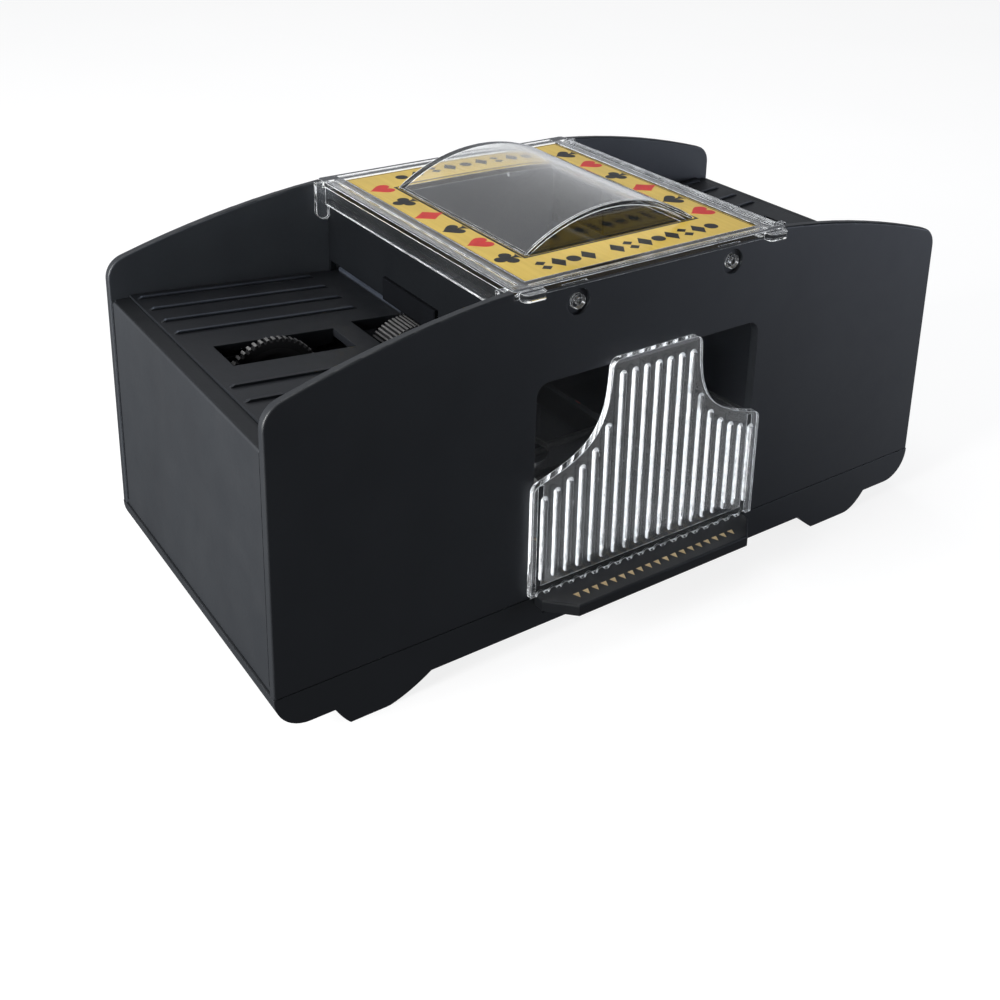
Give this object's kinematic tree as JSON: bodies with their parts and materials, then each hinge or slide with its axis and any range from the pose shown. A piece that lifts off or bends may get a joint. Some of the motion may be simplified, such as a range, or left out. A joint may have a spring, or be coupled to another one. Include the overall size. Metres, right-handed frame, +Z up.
{
  "type": "automatic card shuffler",
  "caption": "Battery card shuffler: black moulded body with sloping card trays, clear domed cover, clear ribbed card drawer and a press-down start bar.",
  "frame": {"origin": "under the middle of the whole machine, press bar included, on the surface the feet rest on", "axes": "+X along the length, from the left card tray to the right one; -Y is the front, where the drawer pulls out; +Z up"},
  "size_m": [0.205, 0.106, 0.104],
  "materials": {
    "housing_black": "fine matt moulded ABS",
    "base_black": "fine matt moulded ABS",
    "deck_black": "fine matt moulded ABS",
    "gate_black": "fine matt moulded ABS",
    "press_bar_black": "satin moulded ABS with a printed mark",
    "soft_rubber": "soft black rubber",
    "cover_clear": "clear glossy polystyrene",
    "drawer_clear": "clear glossy polystyrene",
    "label_gold": "satin gold printed card",
    "screw_steel": "zinc plated",
    "spring_steel": "drawn wire",
    "contact_copper": "spring bronze",
    "contact_nickel": "nickel plated",
    "wire_red": "PVC insulation",
    "gearbox_grey": "moulded plastic",
    "motor_steel": "plated steel can",
    "shaft_steel": "ground steel",
    "gear_white": "natural acetal",
    "hub_black": "moulded plastic",
    "tyre_rubber": "ribbed black rubber",
    "cell_wrap": "printed sleeve"
  },
  "bodies": {
    "root": {"main_housing": "housing_black", "base_tray": "base_black", "left_tray_deck": "deck_black", "right_tray_deck": "deck_black", "left_card_gate": "gate_black", "right_card_gate": "gate_black", "gate_pads": "soft_rubber", "clear_cover": "cover_clear", "cover_label": "label_gold", "base_screws": "screw_steel", "gearbox_screws": "screw_steel", "switch_fixed_contact": "contact_copper", "wiring": "wire_red", "press_bar_spring": "spring_steel", "left_gearbox_inner_plate": "gearbox_grey", "left_gearbox_outer_plate": "gearbox_grey", "left_bearing_bracket": "gearbox_grey", "left_motor_can": "motor_steel", "left_gear_pins": "shaft_steel", "left_battery_contacts": "contact_nickel", "left_aa_cells": "cell_wrap", "right_gearbox_inner_plate": "gearbox_grey", "right_gearbox_outer_plate": "gearbox_grey", "right_bearing_bracket": "gearbox_grey", "right_motor_can": "motor_steel", "right_gear_pins": "shaft_steel", "right_battery_contacts": "contact_nickel", "right_aa_cells": "cell_wrap"},
    "press_bar": {"press_bar": "press_bar_black", "switch_moving_contact": "contact_copper"},
    "drawer": {"card_drawer": "drawer_clear"},
    "left_feed_wheel": {"left_feed_shaft": "shaft_steel", "left_feed_gear": "gear_white", "left_feed_hub": "hub_black", "left_feed_tyre": "tyre_rubber"},
    "left_throw_wheel": {"left_throw_shaft": "shaft_steel", "left_throw_gear": "gear_white", "left_throw_hub": "hub_black", "left_throw_tyre": "tyre_rubber"},
    "left_transfer": {"left_transfer_gear": "gear_white"},
    "left_reduction": {"left_reduction_gear": "gear_white"},
    "left_rotor": {"left_motor_shaft": "shaft_steel", "left_motor_pinion": "gear_white"},
    "left_battery_door": {"left_battery_door": "base_black"},
    "right_feed_wheel": {"right_feed_shaft": "shaft_steel", "right_feed_gear": "gear_white", "right_feed_hub": "hub_black", "right_feed_tyre": "tyre_rubber"},
    "right_throw_wheel": {"right_throw_shaft": "shaft_steel", "right_throw_gear": "gear_white", "right_throw_hub": "hub_black", "right_throw_tyre": "tyre_rubber"},
    "right_transfer": {"right_transfer_gear": "gear_white"},
    "right_reduction": {"right_reduction_gear": "gear_white"},
    "right_rotor": {"right_motor_shaft": "shaft_steel", "right_motor_pinion": "gear_white"},
    "right_battery_door": {"right_battery_door": "base_black"}
  },
  "joints": [
    {"name": "drawer_slide", "type": "slide", "parent": "root", "child": "drawer", "axis": [0, -1, 0], "range_m": [0, 0.085]},
    {"name": "press_bar_tilt", "type": "hinge", "parent": "root", "child": "press_bar", "pos_m": [0, 0.01175, 0.013], "axis": [1, 0, 0], "range_deg": [0, 2.9], "stiffness_Nm_per_rad": 2, "springref_deg": -2.86, "deforming": ["press_bar_spring"]},
    {"name": "left_feed_spin", "type": "hinge", "parent": "root", "child": "left_feed_wheel", "pos_m": [-0.0775, 0.00375, 0.06], "axis": [0, 1, 0], "continuous": true},
    {"name": "left_throw_spin", "type": "hinge", "parent": "root", "child": "left_throw_wheel", "pos_m": [-0.0423, 0.00375, 0.0609], "axis": [0, 1, 0], "continuous": true},
    {"name": "left_transfer_spin", "type": "hinge", "parent": "root", "child": "left_transfer", "pos_m": [-0.05748, 0.00375, 0.0447], "axis": [0, 1, 0], "continuous": true},
    {"name": "left_reduction_spin", "type": "hinge", "parent": "root", "child": "left_reduction", "pos_m": [-0.07887, 0.00375, 0.04169], "axis": [0, 1, 0], "continuous": true},
    {"name": "left_rotor_spin", "type": "hinge", "parent": "root", "child": "left_rotor", "pos_m": [-0.06328, 0.00375, 0.03269], "axis": [0, 1, 0], "continuous": true},
    {"name": "left_battery_door_lift", "type": "slide", "parent": "root", "child": "left_battery_door", "axis": [0, 0, -1], "range_m": [0, 0.012]},
    {"name": "right_feed_spin", "type": "hinge", "parent": "root", "child": "right_feed_wheel", "pos_m": [0.0775, 0.00375, 0.06], "axis": [0, -1, 0], "continuous": true},
    {"name": "right_throw_spin", "type": "hinge", "parent": "root", "child": "right_throw_wheel", "pos_m": [0.0423, 0.00375, 0.0609], "axis": [0, -1, 0], "continuous": true},
    {"name": "right_transfer_spin", "type": "hinge", "parent": "root", "child": "right_transfer", "pos_m": [0.05748, 0.00375, 0.0447], "axis": [0, -1, 0], "continuous": true},
    {"name": "right_reduction_spin", "type": "hinge", "parent": "root", "child": "right_reduction", "pos_m": [0.07887, 0.00375, 0.04169], "axis": [0, -1, 0], "continuous": true},
    {"name": "right_rotor_spin", "type": "hinge", "parent": "root", "child": "right_rotor", "pos_m": [0.06328, 0.00375, 0.03269], "axis": [0, -1, 0], "continuous": true},
    {"name": "right_battery_door_lift", "type": "slide", "parent": "root", "child": "right_battery_door", "axis": [0, 0, -1], "range_m": [0, 0.012]}
  ],
  "couplings": [
    {"joint": "left_throw_spin", "follows": "left_feed_spin", "ratio": 1.7143},
    {"joint": "left_transfer_spin", "follows": "left_feed_spin", "ratio": -0.4},
    {"joint": "left_reduction_spin", "follows": "left_feed_spin", "ratio": 2},
    {"joint": "left_rotor_spin", "follows": "left_feed_spin", "ratio": -8},
    {"joint": "right_throw_spin", "follows": "right_feed_spin", "ratio": 1.7143},
    {"joint": "right_transfer_spin", "follows": "right_feed_spin", "ratio": -0.4},
    {"joint": "right_reduction_spin", "follows": "right_feed_spin", "ratio": 2},
    {"joint": "right_rotor_spin", "follows": "right_feed_spin", "ratio": -8}
  ]
}
